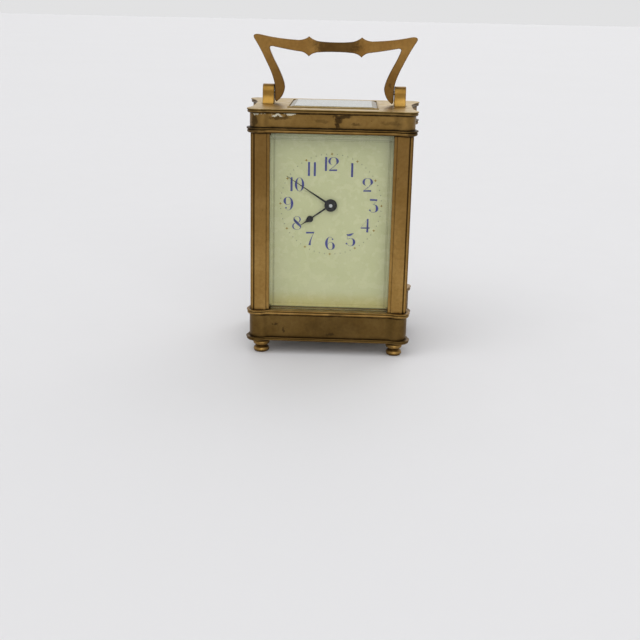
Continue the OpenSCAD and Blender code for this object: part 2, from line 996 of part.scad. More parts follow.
// slender tapering hand with a round boss
module minute_hand() {
    color(black)
        along_y(-21.7, -21.3)
            at_xz(centre)
                difference() {
                    rotate(90 - minute_deg)
                        union() {
                            circle(r = 3.06);
                            polygon([[0, -0.48], [7, -0.42], [14, -0.22],
                                [minute_len, -0.10], [minute_len, 0.10],
                                [14, 0.22], [7, 0.42], [0, 0.48]]);
                        }
                    circle(r = 0.8 + 0.002);
                }
}

// hour hand with a round bulb near its tip
module hour_hand() {
    color(black)
        along_y(-20.6, -20.2)
            at_xz(centre)
                difference() {
                    rotate(90 - hour_deg)
                        union() {
                            circle(r = 2.7);
                            polygon([[0, -0.45], [11, -0.30], [11, 0.30], [0, 0.45]]);
                            translate([12.2, 0])
                                circle(r = 1.6);
                            polygon([[13.1, -1.3], [14.4, -0.5], [15.4, -0.25],
                                [hour_len, -0.08], [hour_len, 0.08], [15.4, 0.25],
                                [14.4, 0.5], [13.1, 1.3]]);
                        }
                    circle(r = 1.7 + 0.002);
                }
}

// domed washer that holds the minute hand on
module hand_collet() {
    color(black)
        difference() {
            union() {
                bar_y(centre, 1.9, -22.0, -21.7);
                bar_y(centre, 1.4, -22.3, -21.9);
            }
            bar_y(centre, 0.802, -23, -21);
        }
}

// ---- platform escapement ----

module platform() {
    color(brass)
        difference() {
            union() {
                translate([-19, fp_out - 0.8, plat_lo])
                    cube([36, bp_out - fp_out + 1.6, plat_hi - plat_lo]);
                translate([7.0, 1.9, 93.2])
                    cube([3.0, 1.2, 5]);
                translate([7.0, -1.2, 93.2])
                    cube([3.0, 3.2, 1.0]);
            }
            translate([escape_x, escape_y, 95])
                cylinder(h = 10, r = 1.75);
            translate([escape_x, escape_y, 92])
                cylinder(h = 3, r = fine_r + run);
            for (x = [lever_x, balance_x])
                translate([x, escape_y, plat_lo - 1])
                    cylinder(h = 4, r = fine_r + run);
            at_platform_screws()
                translate([0, 0, plat_lo - 1])
                    cylinder(h = 4, r = shank_r);
        }
}

// the screws that hold the platform down on the two plates
module at_platform_screws() {
    for (x = [-16.5, 14.5], y = [fp_out + mv_t / 2, bp_out - mv_t / 2])
        translate([x, y, 0])
            children();
}

module platform_screws() {
    color(blued)
        at_platform_screws()
            translate([0, 0, plat_hi])
                screw(1.5, 0.7, shank_r - run, 4);
}

// bridge over the escape wheel and the lever
module escape_bridge() {
    color(brass)
        difference() {
            union() {
                translate([12.6, escape_y - 3, plat_hi])
                    cube([3.6, 6, bridge_z + 0.6 - plat_hi]);
                translate([lever_x, escape_y - 1.2, bridge_z])
                    cube([12.9 - lever_x, 2.4, 0.6]);
                translate([lever_x, escape_y, bridge_z])
                    cylinder(h = 0.6, r = 1.2);
            }
            for (x = [escape_x, lever_x])
                translate([x, escape_y, bridge_z - 1])
                    cylinder(h = 3, r = fine_r + run);
        }
}

// fifteen-tooth club wheel and its upright pinion
module escape_wheel() {
    color(polished)
        translate([escape_x, escape_y, 0]) {
            translate([0, 0, escape_z])
                linear_extrude(0.5) {
                    difference() {
                        union() {
                            circle(r = 2.7);
                            for (i = [0:14])
                                rotate(i * 24 + 12)
                                    polygon([[2.5, -0.5], [3.45, 0.05], [3.5, 0.5],
                                        [3.3, 0.5], [2.5, 0.25]]);
                        }
                        circle(r = 2.1);
                    }
                    circle(r = 0.8);
                    for (a = [0:90:270])
                        rotate(a)
                            translate([0, -0.25])
                                square([2.3, 0.5]);
                }
            translate([0, 0, 95.4])
                linear_extrude(2.4)
                    gear2d(escape_pn, 0.3095, 0.26, 90, 0.6, 1.3);
            translate([0, 0, 94.4])
                cylinder(h = 7.4, r = 0.5);
            translate([0, 0, 93.4])
                cylinder(h = 9.1, r = fine_r);
        }
}

module pallet_lever() {
    color(steel)
        translate([lever_x, escape_y, 0]) {
            translate([0, 0, escape_z]) {
                linear_extrude(0.5) {
                    circle(r = 0.75);
                    polygon([[-5.4, -0.3], [0, -0.5], [0, 0.5], [-5.4, 0.3]]);
                    polygon([[-6.6, -0.75], [-5.1, -0.6], [-5.1, 0.6], [-6.6, 0.75],
                        [-6.6, 0.3], [-5.6, 0.3], [-5.6, -0.3], [-6.6, -0.3]]);
                    for (s = [0, 1])
                        mirror([0, s])
                            polygon([[-0.5, 0.3], [0.5, 0.2], [1.3, 2.5], [1.75, 2.9],
                                [1.5, 3.4], [0.7, 2.8]]);
                }
            }
            translate([0, 0, 99.9])
                cylinder(h = 1.9, r = 0.5);
            translate([0, 0, 98.6])
                cylinder(h = 3.9, r = fine_r);
        }
}

module balance_wheel() {
    color(polished)
        translate([balance_x, escape_y, 0]) {
            translate([0, 0, balance_z]) {
                linear_extrude(0.9) {
                    difference() {
                        circle(r = 7.0);
                        circle(r = 6.2);
                    }
                    circle(r = 1.2);
                    translate([-6.5, -0.5])
                        square([13, 1.0]);
                }
                for (i = [0:11])
                    rotate(i * 30 + 15)
                        translate([6.9, 0, 0.45])
                            rotate([0, 90, 0])
                                cylinder(h = 0.8, r = 0.4);
            }
            translate([0, 0, 102.2])
                cylinder(h = 0.4, r = 1.6);
            translate([1.1, 0, 101.4])
                cylinder(h = 0.9, r = 0.2);
            translate([0, 0, 99.9])
                cylinder(h = 5.6, r = 0.5);
            translate([0, 0, 98.6])
                cylinder(h = 7.8, r = fine_r);
        }
}

module hairspring() {
    color(blued)
        translate([balance_x, escape_y, 104.4])
            linear_extrude(0.5)
                spiral2d(0.75, 4.0, 7, 0.12);
}

// cock that holds the upper pivot of the balance
module balance_cock() {
    color(brass)
        difference() {
            union() {
                translate([-17.8, escape_y - 4, plat_hi])
                    cube([5.2, 8, cock_z + 1 - plat_hi]);
                translate([0, 0, cock_z])
                    linear_extrude(1.0) {
                        polygon([[-13, escape_y - 4], [balance_x, escape_y - 1.9],
                            [balance_x, escape_y + 1.9], [-13, escape_y + 4]]);
                        translate([balance_x, escape_y])
                            circle(r = 1.9);
                    }
                translate([balance_x, escape_y, cock_z + 0.9])
                    cylinder(h = 0.9, r = 1.2);
            }
            translate([balance_x, escape_y, cock_z - 1])
                cylinder(h = 1.7, r = fine_r + run);
        }
}

// index lever that turns round the boss of the cock
module regulator() {
    color(steel)
        translate([balance_x, escape_y, cock_z + 1.05])
            linear_extrude(0.5)
                difference() {
                    union() {
                        circle(r = 2.1);
                        polygon([[-0.12, -6.2], [0.12, -6.2], [0.5, -0.5], [0.4, 3.4],
                            [-0.4, 3.4], [-0.5, -0.5]]);
                    }
                    circle(r = 1.2 + run);
                }
}

// ---- assembly ----

bottom_plate();
foot_front_left();
foot_front_right();
foot_rear_left();
foot_rear_right();
plinth_band();
base_moulding();
pillar_front_left();
pillar_front_right();
pillar_rear_left();
pillar_rear_right();
cornice_moulding();
frieze_band();
top_plate();
top_glass();
front_glass();
left_glass();
right_glass();
movement_screws();
post_left();
post_right();
handle_pins();
handle();
door_frame();
door_glass();
door_knob();
front_plate();
back_plate();
movement_pillars();
pillar_screws();
dial();
barrel();
barrel_cover();
mainspring();
barrel_arbor();
ratchet_wheel();
click();
click_spring();
click_screws();
intermediate_wheel();
centre_wheel();
third_wheel();
contrate_wheel();
centre_arbor();
cannon_pinion();
minute_wheel();
hour_wheel();
minute_hand();
hour_hand();
hand_collet();
platform();
platform_screws();
escape_bridge();
escape_wheel();
pallet_lever();
balance_wheel();
hairspring();
balance_cock();
regulator();
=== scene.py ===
"""Looks of a brass carriage clock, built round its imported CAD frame. Lengths in metres."""

import json
import math

import bmesh
import bpy
from mathutils import Matrix, Vector


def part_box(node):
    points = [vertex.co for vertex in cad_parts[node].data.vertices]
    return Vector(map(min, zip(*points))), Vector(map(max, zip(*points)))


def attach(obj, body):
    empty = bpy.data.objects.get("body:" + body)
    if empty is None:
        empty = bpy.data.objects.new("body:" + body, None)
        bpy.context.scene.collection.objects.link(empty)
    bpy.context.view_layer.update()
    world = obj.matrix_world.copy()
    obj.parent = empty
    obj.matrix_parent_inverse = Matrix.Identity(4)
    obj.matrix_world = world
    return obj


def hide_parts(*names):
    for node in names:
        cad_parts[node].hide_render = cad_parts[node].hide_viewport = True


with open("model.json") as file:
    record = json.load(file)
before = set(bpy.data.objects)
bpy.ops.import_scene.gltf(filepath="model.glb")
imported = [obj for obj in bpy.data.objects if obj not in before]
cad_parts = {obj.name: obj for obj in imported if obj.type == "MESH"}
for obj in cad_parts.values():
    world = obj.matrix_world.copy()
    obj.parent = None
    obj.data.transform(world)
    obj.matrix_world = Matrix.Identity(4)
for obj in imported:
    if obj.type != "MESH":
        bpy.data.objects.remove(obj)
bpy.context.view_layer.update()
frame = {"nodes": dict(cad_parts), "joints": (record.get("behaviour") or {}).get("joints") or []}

MM = 0.001

# ---- places taken from the frame ----

base_low, base_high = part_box("base_moulding")
cornice_low, cornice_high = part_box("cornice_moulding")
frieze_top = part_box("frieze_band")[1].z
bottom_low, bottom_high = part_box("bottom_plate")
dial_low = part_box("dial")[0]
top_glass_low, top_glass_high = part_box("top_glass")
joint_place = {j["name"]: Vector(j["pos_m"]) for j in frame["joints"]}
dial_centre = joint_place["hand_setting"]

# plan of the mouldings: round lobes at the corners, edges set back between them
REAR_FLARE = 3.0 * MM
LOBE_R = 5.5 * MM
HOLLOW_R = 5.0 * MM
SIDE_HOLLOW_R = 40 * MM
FRONT_DIP = 1.4 * MM
SIDE_DIP = 2.1 * MM
CASE_HW = base_high.x - REAR_FLARE
CASE_HD = base_high.y


# ---- node graphs ----

class Graph:
    """A material's node tree, with short names for the nodes that the finishes share."""

    def __init__(self, name):
        self.material = bpy.data.materials.new(name)
        self.material.use_nodes = True
        self.tree = self.material.node_tree
        self.tree.nodes.clear()
        self.output = self.add("ShaderNodeOutputMaterial")
        self.place = self.add("ShaderNodeTexCoord").outputs["Object"]

    def add(self, kind, **settings):
        """A new node with these settings."""
        node = self.tree.nodes.new(kind)
        for key, value in settings.items():
            setattr(node, key, value)
        return node

    def feed(self, socket, value):
        """Links a socket to another, or sets its value."""
        if isinstance(value, bpy.types.NodeSocket):
            self.tree.links.new(value, socket)
        elif socket.type == "RGBA" and len(value) == 3:
            socket.default_value = (*value, 1)
        else:
            socket.default_value = value

    def noise_node(self, size, detail, stretch, rough, shift):
        """Noise in the frame whose blotches are about size metres, longer where stretch is above 1."""
        mapping = self.add("ShaderNodeMapping")
        mapping.inputs["Location"].default_value = shift
        mapping.inputs["Scale"].default_value = [1 / (size * s) for s in stretch]
        self.feed(mapping.inputs["Vector"], self.place)
        node = self.add("ShaderNodeTexNoise")
        node.inputs["Scale"].default_value = 1
        node.inputs["Detail"].default_value = detail
        node.inputs["Roughness"].default_value = rough
        self.feed(node.inputs["Vector"], mapping.outputs[0])
        return node

    def noise(self, size, detail=3.0, stretch=(1, 1, 1), rough=0.55, shift=(0, 0, 0)):
        """Noise as a number from 0 to 1."""
        return self.noise_node(size, detail, stretch, rough, shift).outputs["Fac"]

    def ramp(self, value, low, high, to_low=0.0, to_high=1.0):
        """A smooth step from to_low to to_high while value goes from low to high."""
        node = self.add("ShaderNodeMapRange", interpolation_type="SMOOTHSTEP")
        self.feed(node.inputs["Value"], value)
        node.inputs["From Min"].default_value = low
        node.inputs["From Max"].default_value = high
        node.inputs["To Min"].default_value = to_low
        node.inputs["To Max"].default_value = to_high
        return node.outputs["Result"]

    def maths(self, kind, a, b=0.0):
        """One operation on one or two numbers."""
        node = self.add("ShaderNodeMath", operation=kind)
        self.feed(node.inputs[0], a)
        self.feed(node.inputs[1], b)
        return node.outputs[0]

    def mix(self, share, a, b):
        """Colour a where share is 0 and b where it is 1."""
        node = self.add("ShaderNodeMix", data_type="RGBA")
        self.feed(node.inputs[0], share)
        self.feed(node.inputs[6], a)
        self.feed(node.inputs[7], b)
        return node.outputs[2]

    def torn_place(self, size, reach):
        """The place in the frame, pushed about by up to reach metres in tatters of size metres."""
        tatters = self.noise_node(size, 6, (1, 1, 1), 0.7, (0, 0, 0)).outputs["Color"]
        push = self.add("ShaderNodeVectorMath", operation="MULTIPLY_ADD")
        self.feed(push.inputs[0], tatters)
        push.inputs[1].default_value = (2 * reach, 2 * reach, 2 * reach)
        push.inputs[2].default_value = (-reach, -reach, -reach)
        moved = self.add("ShaderNodeVectorMath", operation="ADD")
        self.feed(moved.inputs[0], self.place)
        self.feed(moved.inputs[1], push.outputs[0])
        return moved.outputs[0]

    def closeness(self, origin, place, reach):
        """1 where origin is at a place, falling to 0 on an ellipsoid with these half-lengths."""
        apart = self.add("ShaderNodeVectorMath", operation="SUBTRACT")
        self.feed(apart.inputs[0], origin)
        apart.inputs[1].default_value = place
        scaled = self.add("ShaderNodeVectorMath", operation="DIVIDE")
        self.feed(scaled.inputs[0], apart.outputs[0])
        scaled.inputs[1].default_value = reach
        far = self.add("ShaderNodeVectorMath", operation="LENGTH")
        self.feed(far.inputs[0], scaled.outputs[0])
        return self.ramp(far.outputs["Value"], 0, 1, 1, 0)

    def along(self, axis):
        """The place in the frame along X, Y or Z."""
        node = self.add("ShaderNodeSeparateXYZ")
        self.feed(node.inputs[0], self.place)
        return node.outputs[axis]

    def gap(self, value, mark):
        """How far a value is from a mark, on either side."""
        return self.maths("ABSOLUTE", self.maths("SUBTRACT", value, mark))

    def crevice(self, distance):
        """1 deep in a corner or under an edge, 0 in the open."""
        node = self.add("ShaderNodeAmbientOcclusion", samples=8)
        node.inputs["Distance"].default_value = distance
        return self.maths("SUBTRACT", 1.0, node.outputs["AO"])

    def rim(self, radius, sharp=0.86, flat=0.995):
        """1 along outer and inner edges, 0 on open faces; sharp and flat are cosines of the turn."""
        bevel = self.add("ShaderNodeBevel", samples=4)
        bevel.inputs["Radius"].default_value = radius
        dot = self.add("ShaderNodeVectorMath", operation="DOT_PRODUCT")
        self.feed(dot.inputs[0], bevel.outputs[0])
        self.feed(dot.inputs[1], self.add("ShaderNodeNewGeometry").outputs["Normal"])
        return self.ramp(dot.outputs["Value"], sharp, flat, 1.0, 0.0)

    def bump(self, height, depth, strength):
        """Normals of a relief that is depth metres deep where height goes from 0 to 1."""
        node = self.add("ShaderNodeBump")
        node.inputs["Strength"].default_value = strength
        node.inputs["Distance"].default_value = depth
        self.feed(node.inputs["Height"], height)
        return node.outputs["Normal"]

    def surface(self, colour, roughness, normal=None, **constants):
        """The Principled shader. constants are its sockets' names, with _ for a space."""
        shader = self.add("ShaderNodeBsdfPrincipled")
        self.feed(shader.inputs["Base Color"], colour)
        self.feed(shader.inputs["Roughness"], roughness)
        if normal is not None:
            self.feed(shader.inputs["Normal"], normal)
        for name, value in constants.items():
            self.feed(shader.inputs[name.replace("_", " ")], value)
        self.feed(self.output.inputs["Surface"], shader.outputs[0])
        return shader


# ---- finishes ----

# painted shade: the ragged dark line at the seams between parts
SEAM_SHADE = (0.020, 0.012, 0.005)
STAIN = (0.022, 0.013, 0.006)
# painted highlight: the pale patches along the top of the frieze
PAINTED_HIGHLIGHT = (0.50, 0.47, 0.36)
# painted reflection of the brass at the foot of the dial
PAINTED_BRASS_REFLECTION = (0.42, 0.37, 0.13)
ENAMEL_SPECK = (0.30, 0.28, 0.16)
BEVEL_SHADOW = (0.10, 0.10, 0.05)
# painted reflection: the dark line along the glass's bevel edges
BEVEL_LINE = (0.40, 0.42, 0.32)


def brass(name, tone, deep, light, roughness, tarnish_and_shade=0.6, stains=(), pale=(), grain=(6, 6, 0.3),
          fade=None, joints=(), edge=None):
    """Satin brass: mottled tone, dark corners of tarnish and painted shade, fine polishing lines and spots.

    stains are dark patches: a place, half-lengths and a strength. pale ones are painted highlights, without
    a strength.
    fade is a height where the metal keeps its tone, a height where it is darkest and how dark it is there;
    on the pillars and posts this is painted reflection, brighter low down, and on the top plate painted
    shade on its edge.
    joints are heights at which a ragged dark line of painted shade lies, for the shade in the seam between
    parts. edge is the colour painted along its rounded edges, a painted reflection.
    """
    g = Graph(name)
    broad = g.ramp(g.noise(14 * MM, 4), 0.34, 0.68)
    fine = g.ramp(g.noise(1.7 * MM, 5, rough=0.65), 0.3, 0.75)
    colour = g.mix(broad, tone, light)
    colour = g.mix(g.maths("MULTIPLY", fine, 0.30), colour, deep)
    if fade:
        # darker towards one height: painted reflection and shade on the pillars, the posts and the top
        # plate's edge
        full_tone_z, dull, share = fade
        colour = g.mix(g.ramp(g.along("Z"), full_tone_z, dull, 0.0, share), colour, deep)
    # painted reflection: a colour along the rounded edges, dark on the handle and the posts
    if edge:
        colour = g.mix(g.maths("MULTIPLY", g.rim(0.7 * MM), 0.7), colour, edge)
    # tarnish and painted shade: darker in corners and under edges, where ambient occlusion finds them
    corner = g.ramp(g.crevice(2.2 * MM), 0.10, 0.55)
    colour = g.mix(g.maths("MULTIPLY", corner, tarnish_and_shade), colour, [0.35 * c for c in deep])
    # painted shade: a ragged dark line at each seam
    for z in joints:
        tatter = g.ramp(g.noise(3 * MM, 5, shift=(5, 5, 5)), 0.3, 0.8, 0.0, 0.45 * MM)
        ragged = g.maths("ADD", g.gap(g.along("Z"), z), tatter)
        line = g.ramp(ragged, 0.25 * MM, 0.75 * MM, 0.8, 0.0)
        colour = g.mix(line, colour, SEAM_SHADE)
    speck = g.ramp(g.noise(1.1 * MM, 2, shift=(3, 7, 1)), 0.72, 0.78)
    colour = g.mix(g.maths("MULTIPLY", speck, 0.55), colour, [0.25 * c for c in deep])
    torn = g.noise(1.2 * MM, 6, rough=0.75, shift=(11, 4, 9))
    origin = g.torn_place(3.0 * MM, 2.6 * MM) if stains or pale else None
    wear = corner
    for place, reach, share in stains:
        mask = g.ramp(g.maths("MULTIPLY", g.closeness(origin, place, reach), torn), 0.10, 0.34)
        mask = g.maths("MULTIPLY", mask, share)
        colour = g.mix(mask, colour, STAIN)
        wear = g.maths("MAXIMUM", wear, mask)
    # painted highlight: pale patches
    for place, reach in pale:
        mask = g.ramp(g.maths("MULTIPLY", g.closeness(origin, place, reach), torn), 0.16, 0.27)
        colour = g.mix(mask, colour, PAINTED_HIGHLIGHT)
    rough = g.ramp(g.noise(5 * MM, 4, shift=(2, 2, 2)), 0.3, 0.7, roughness - 0.06, roughness + 0.08)
    rough = g.maths("ADD", rough, g.maths("MULTIPLY", wear, 0.18))
    lines = g.noise(0.9 * MM, 3, stretch=grain)
    relief = g.maths("ADD", g.maths("MULTIPLY", lines, 0.6), g.maths("MULTIPLY", fine, 0.5))
    g.surface(colour, rough, g.bump(relief, 0.03 * MM, 0.30), Metallic=1.0)
    return g.material


def plain_metal(name, tone, deep, roughness, grain=(1, 1, 12)):
    """Finely brushed metal with a little colour drift and painted shade in its corners."""
    g = Graph(name)
    drift = g.ramp(g.noise(3 * MM, 4), 0.3, 0.7)
    # painted shade: darker in corners and under edges
    corner = g.ramp(g.crevice(1.0 * MM), 0.1, 0.7)
    colour = g.mix(g.maths("MULTIPLY", drift, 0.5), tone, deep)
    colour = g.mix(g.maths("MULTIPLY", corner, 0.6), colour, [0.4 * c for c in deep])
    lines = g.noise(0.35 * MM, 2, stretch=grain)
    rough = g.ramp(lines, 0.3, 0.7, roughness - 0.05, roughness + 0.08)
    g.surface(colour, rough, g.bump(lines, 0.01 * MM, 0.3), Metallic=1.0)
    return g.material


def enamel(name):
    """Glossy cream enamel, yellower low down from a painted reflection of the brass, with faint specks and
    the painted shadows of the glass's bevels.

    Each shadow is a line: a distance from the dial's middle or foot, its half-width and its strength.
    """
    g = Graph(name)
    drift = g.ramp(g.noise(16 * MM, 3), 0.3, 0.7)
    colour = g.mix(drift, (0.470, 0.480, 0.280), (0.490, 0.496, 0.302))
    # painted reflection: yellower towards the foot of the dial, for the brass below
    low = g.ramp(g.along("Z"), dial_low.z + 1 * MM, dial_low.z + 9 * MM, 0.75, 0.0)
    colour = g.mix(low, colour, PAINTED_BRASS_REFLECTION)
    speck = g.ramp(g.noise(0.8 * MM, 2, shift=(5, 1, 8)), 0.76, 0.80)
    colour = g.mix(g.maths("MULTIPLY", speck, 0.35), colour, ENAMEL_SPECK)
    across = g.gap(g.along("X"), dial_centre.x)
    up = g.gap(g.along("Z"), dial_low.z)
    shadows = ((across, 27.3 * MM, 0.35 * MM, 0.30),
               (up, 82.0 * MM, 0.40 * MM, 0.35),
               (up, 0.1 * MM, 0.45 * MM, 0.85))
    for distance, line_at, half, share in shadows:
        line = g.ramp(g.gap(distance, line_at), 0.3 * half, half, share, 0.0)
        colour = g.mix(line, colour, BEVEL_SHADOW)
    wave = g.noise(4 * MM, 2)
    rough = g.ramp(wave, 0.3, 0.7, 0.22, 0.30)
    g.surface(colour, rough, g.bump(wave, 0.02 * MM, 0.2), Specular_IOR_Level=0.35)
    return g.material


def paint(name, tone, worn, roughness=0.4, gloss=0.4):
    """Thin fired colour that has worn pale in places."""
    g = Graph(name)
    thin = g.ramp(g.noise(0.7 * MM, 3), 0.52, 0.78)
    colour = g.mix(g.maths("MULTIPLY", thin, 0.45), tone, worn)
    rough = g.ramp(g.noise(0.5 * MM, 2), 0.3, 0.7, roughness - 0.08, roughness + 0.08)
    g.surface(colour, rough, Specular_IOR_Level=gloss)
    return g.material


def glass(name, tint, bevel_painted_tint, ior, edge_ior, film=0.0):
    """Clear old glass with faint smears, and in its bevels a tint of painted reflection and a refraction of
    their own.

    film is its share of pale dust. Lamps shine straight through it.
    """
    g = Graph(name)
    split = g.add("ShaderNodeSeparateXYZ")
    g.feed(split.inputs[0], g.add("ShaderNodeTexCoord").outputs["Normal"])
    # 1 on the flats and edges of a pane, which face along an axis, and less on its bevels
    facing = 0.0
    for axis in split.outputs:
        facing = g.maths("MAXIMUM", g.maths("ABSOLUTE", axis), facing)
    bevel = g.ramp(facing, 0.972, 0.998, 1.0, 0.0)
    # painted reflection: the bevels take their own tint
    colour = g.mix(bevel, tint, bevel_painted_tint)
    # painted reflection: a dark line along the bevel's edges
    line = g.maths("MULTIPLY", g.rim(0.35 * MM, 0.989, 0.999), 0.8)
    colour = g.mix(line, colour, BEVEL_LINE)
    smear = g.ramp(g.noise(9 * MM, 4, stretch=(1, 1, 2.5)), 0.50, 0.80, 0.0, 0.05)
    dust = g.noise(6 * MM, 5, shift=(1, 5, 2))
    clear_share = g.ramp(dust, 0.2, 0.8, 1.0 - 0.8 * film, 1.0 - 1.2 * film)
    shader = g.surface(colour, smear, Transmission_Weight=clear_share, Specular_IOR_Level=0.25,
                       IOR=g.ramp(bevel, 0, 1, ior, edge_ior))
    clear = g.add("ShaderNodeBsdfTransparent")
    g.feed(clear.inputs["Color"], colour)
    ray = g.add("ShaderNodeLightPath")
    both = g.add("ShaderNodeMixShader")
    g.feed(both.inputs[0], ray.outputs["Is Shadow Ray"])
    g.feed(both.inputs[1], shader.outputs[0])
    g.feed(both.inputs[2], clear.outputs[0])
    g.feed(g.output.inputs["Surface"], both.outputs[0])
    return g.material


def ruby(name):
    """Polished red stone."""
    g = Graph(name)
    drift = g.ramp(g.noise(0.4 * MM, 2), 0.3, 0.7)
    colour = g.mix(drift, (0.42, 0.015, 0.05), (0.55, 0.03, 0.09))
    g.surface(colour, g.ramp(drift, 0, 1, 0.05, 0.12), Coat_Weight=0.5)
    return g.material


def pale_floor(name):
    """A dull, nearly white table top."""
    g = Graph(name)
    drift = g.noise(0.3, 4)
    colour = g.mix(drift, (0.775, 0.771, 0.776), (0.795, 0.793, 0.804))
    g.surface(colour, g.ramp(g.noise(0.02, 3), 0.3, 0.7, 0.75, 0.9))
    return g.material


# ---- the clock's own finishes ----

# the front of the frieze and of the plinth, which stand back from the mouldings
BAND_INSET = 1.3 * MM
FRONT = -CASE_HD + FRONT_DIP + BAND_INSET
CASE_TONE = (0.285, 0.165, 0.046)
CASE_DEEP = (0.085, 0.042, 0.011)
CASE_LIGHT = (0.345, 0.208, 0.064)


def on_front(x, z, across, up):
    """A patch on the front of a band, all in millimetres: where it is and its half-lengths."""
    return (x * MM, FRONT, z * MM), (across * MM, 3 * MM, up * MM)


def shade(tone, share):
    """A darker or lighter tone of the same hue."""
    return [share * c for c in tone]


# one brass for the whole case, in copies of different tone that paint light and shade: lighter on the
# pillars and the top plate, darker on the mouldings, the frieze and most of all the plinth
case_brass = brass("case_brass", CASE_TONE, CASE_DEEP, CASE_LIGHT, 0.40)
pillar_brass = brass(
    "pillar_brass", shade(CASE_TONE, 1.08), CASE_DEEP, shade(CASE_LIGHT, 1.08), 0.40,
    # painted reflection and shade: brighter low down, darker towards the top, with dark lines of painted
    # shade where the mouldings meet the pillars
    fade=(30 * MM, 104 * MM, 0.62), joints=(base_high.z, cornice_low.z))
moulding_brass = brass(
    "moulding_brass", shade(CASE_TONE, 0.78), shade(CASE_DEEP, 0.7), shade(CASE_LIGHT, 0.96), 0.36,
    tarnish_and_shade=0.8, grain=(0.3, 0.3, 6), fade=(24 * MM, 105 * MM, 0.30),
    # dark lines of painted shade at the seams
    joints=(base_low.z, cornice_low.z, cornice_high.z),
    stains=[((-37 * MM, -28 * MM, 109.8 * MM), (9 * MM, 8 * MM, 3 * MM), 0.6),
            ((38 * MM, -28 * MM, 109.8 * MM), (8 * MM, 8 * MM, 3 * MM), 0.6),
            ((4 * MM, -30 * MM, 21.2 * MM), (8 * MM, 5 * MM, 2 * MM), 0.5)])
# a lighter copy: painted reflection of the bright room on the top plate
top_brass = brass(
    "top_brass", (0.40, 0.272, 0.088), CASE_DEEP, (0.48, 0.340, 0.125), 0.38, grain=(0.3, 6, 6),
    # painted shade: a dark line under the top plate, and its edge darker than its top
    joints=(frieze_top,), fade=(frieze_top + 1.95 * MM, frieze_top + 1.6 * MM, 0.8))
frieze_brass = brass(
    "frieze_brass", shade(CASE_TONE, 0.64), CASE_DEEP, shade(CASE_LIGHT, 0.66), 0.40,
    # dark lines of painted shade at the seams
    joints=(cornice_high.z, frieze_top),
    stains=[(*on_front(4.5, 116.6, 7, 1.9), 0.8), (*on_front(3.0, 114.8, 3.4, 3.0), 0.8),
            (*on_front(2.6, 112.4, 2.4, 1.9), 0.8), (*on_front(11, 113.2, 4.5, 1.6), 0.45),
            (*on_front(-5, 114.2, 6, 1.8), 0.3), (*on_front(-36, 114.0, 3.6, 5.0), 0.65),
            (*on_front(-25, 115.4, 9, 2.0), 0.6), (*on_front(28, 114, 9, 1.6), 0.3)],
    # painted highlights along the top of the frieze's front
    pale=[on_front(-34, 117.0, 4.6, 1.5), on_front(-26, 116.6, 5.0, 1.3), on_front(-19.5, 117.2, 5.0, 1.2)])
plinth_brass = brass(
    "plinth_brass", shade(CASE_TONE, 0.43), shade(CASE_DEEP, 0.6), shade(CASE_LIGHT, 0.47), 0.42,
    # a dark line of painted shade at the seam under the base moulding
    joints=(base_low.z,),
    stains=[(*on_front(-25.5, 15.5, 2.0, 1.2), 0.8), (*on_front(-21.5, 12.2, 1.2, 1.9), 0.7),
            (*on_front(1.5, 10.5, 4.5, 1.3), 0.6), (*on_front(2, 14.5, 26, 9), 0.20)])
handle_brass = brass(
    "handle_brass", (0.228, 0.119, 0.031), shade(CASE_DEEP, 0.9), (0.270, 0.150, 0.042), 0.40,
    grain=(0.3, 6, 6), fade=(top_glass_high.z + 26 * MM, top_glass_high.z + 12 * MM, 0.40),
    # painted reflection: dark along the handle's rounded edges
    edge=(0.030, 0.016, 0.005),
    stains=[((1 * MM, -1.6 * MM, 147.5 * MM), (20 * MM, 8 * MM, 9 * MM), 0.62),
            ((26.8 * MM, -1.6 * MM, 129.0 * MM), (1.8 * MM, 3 * MM, 2.4 * MM), 0.35)])
polished_brass = brass(
    "polished_brass", (0.330, 0.185, 0.038), (0.13, 0.065, 0.012), (0.375, 0.220, 0.052), 0.34,
    # painted reflection: the posts brighter low down than up high, and dark along their rounded edges
    tarnish_and_shade=0.5, grain=(0.3, 6, 6), fade=(top_glass_high.z + 1.5 * MM, top_glass_high.z + 5 * MM, 0.5),
    edge=(0.10, 0.055, 0.014))
movement_brass = plain_metal("movement_brass", (0.62, 0.43, 0.17), (0.42, 0.27, 0.09), 0.30)
steel = plain_metal("steel", (0.56, 0.57, 0.60), (0.36, 0.36, 0.38), 0.28)
blued_steel = plain_metal("blued_steel", (0.045, 0.075, 0.260), (0.03, 0.03, 0.10), 0.25)
black_steel = paint("black_steel", (0.004, 0.004, 0.005), (0.012, 0.011, 0.010), 0.45, 0.15)
dial_enamel = enamel("dial_enamel")
# the second tint of each pane is painted reflection in its bevels, brown on the top pane
clear_glass = glass("clear_glass", (0.955, 0.965, 0.94), (0.99, 0.995, 0.97), 1.28, 1.28)
dusty_glass = glass("dusty_glass", (0.78, 0.80, 0.76), (0.30, 0.22, 0.09), 1.45, 1.12, film=0.42)
numeral_blue = paint("numeral_blue", (0.026, 0.034, 0.200), (0.13, 0.15, 0.30))
gilt = paint("gilt", (0.24, 0.160, 0.012), (0.34, 0.26, 0.06), 0.35)
minute_grey = paint("minute_grey", (0.18, 0.195, 0.14), (0.33, 0.345, 0.24))
ruby_red = ruby("ruby_red")


# ---- CAD nodes that stay: smooth shading, small rounded edges, a finish ----

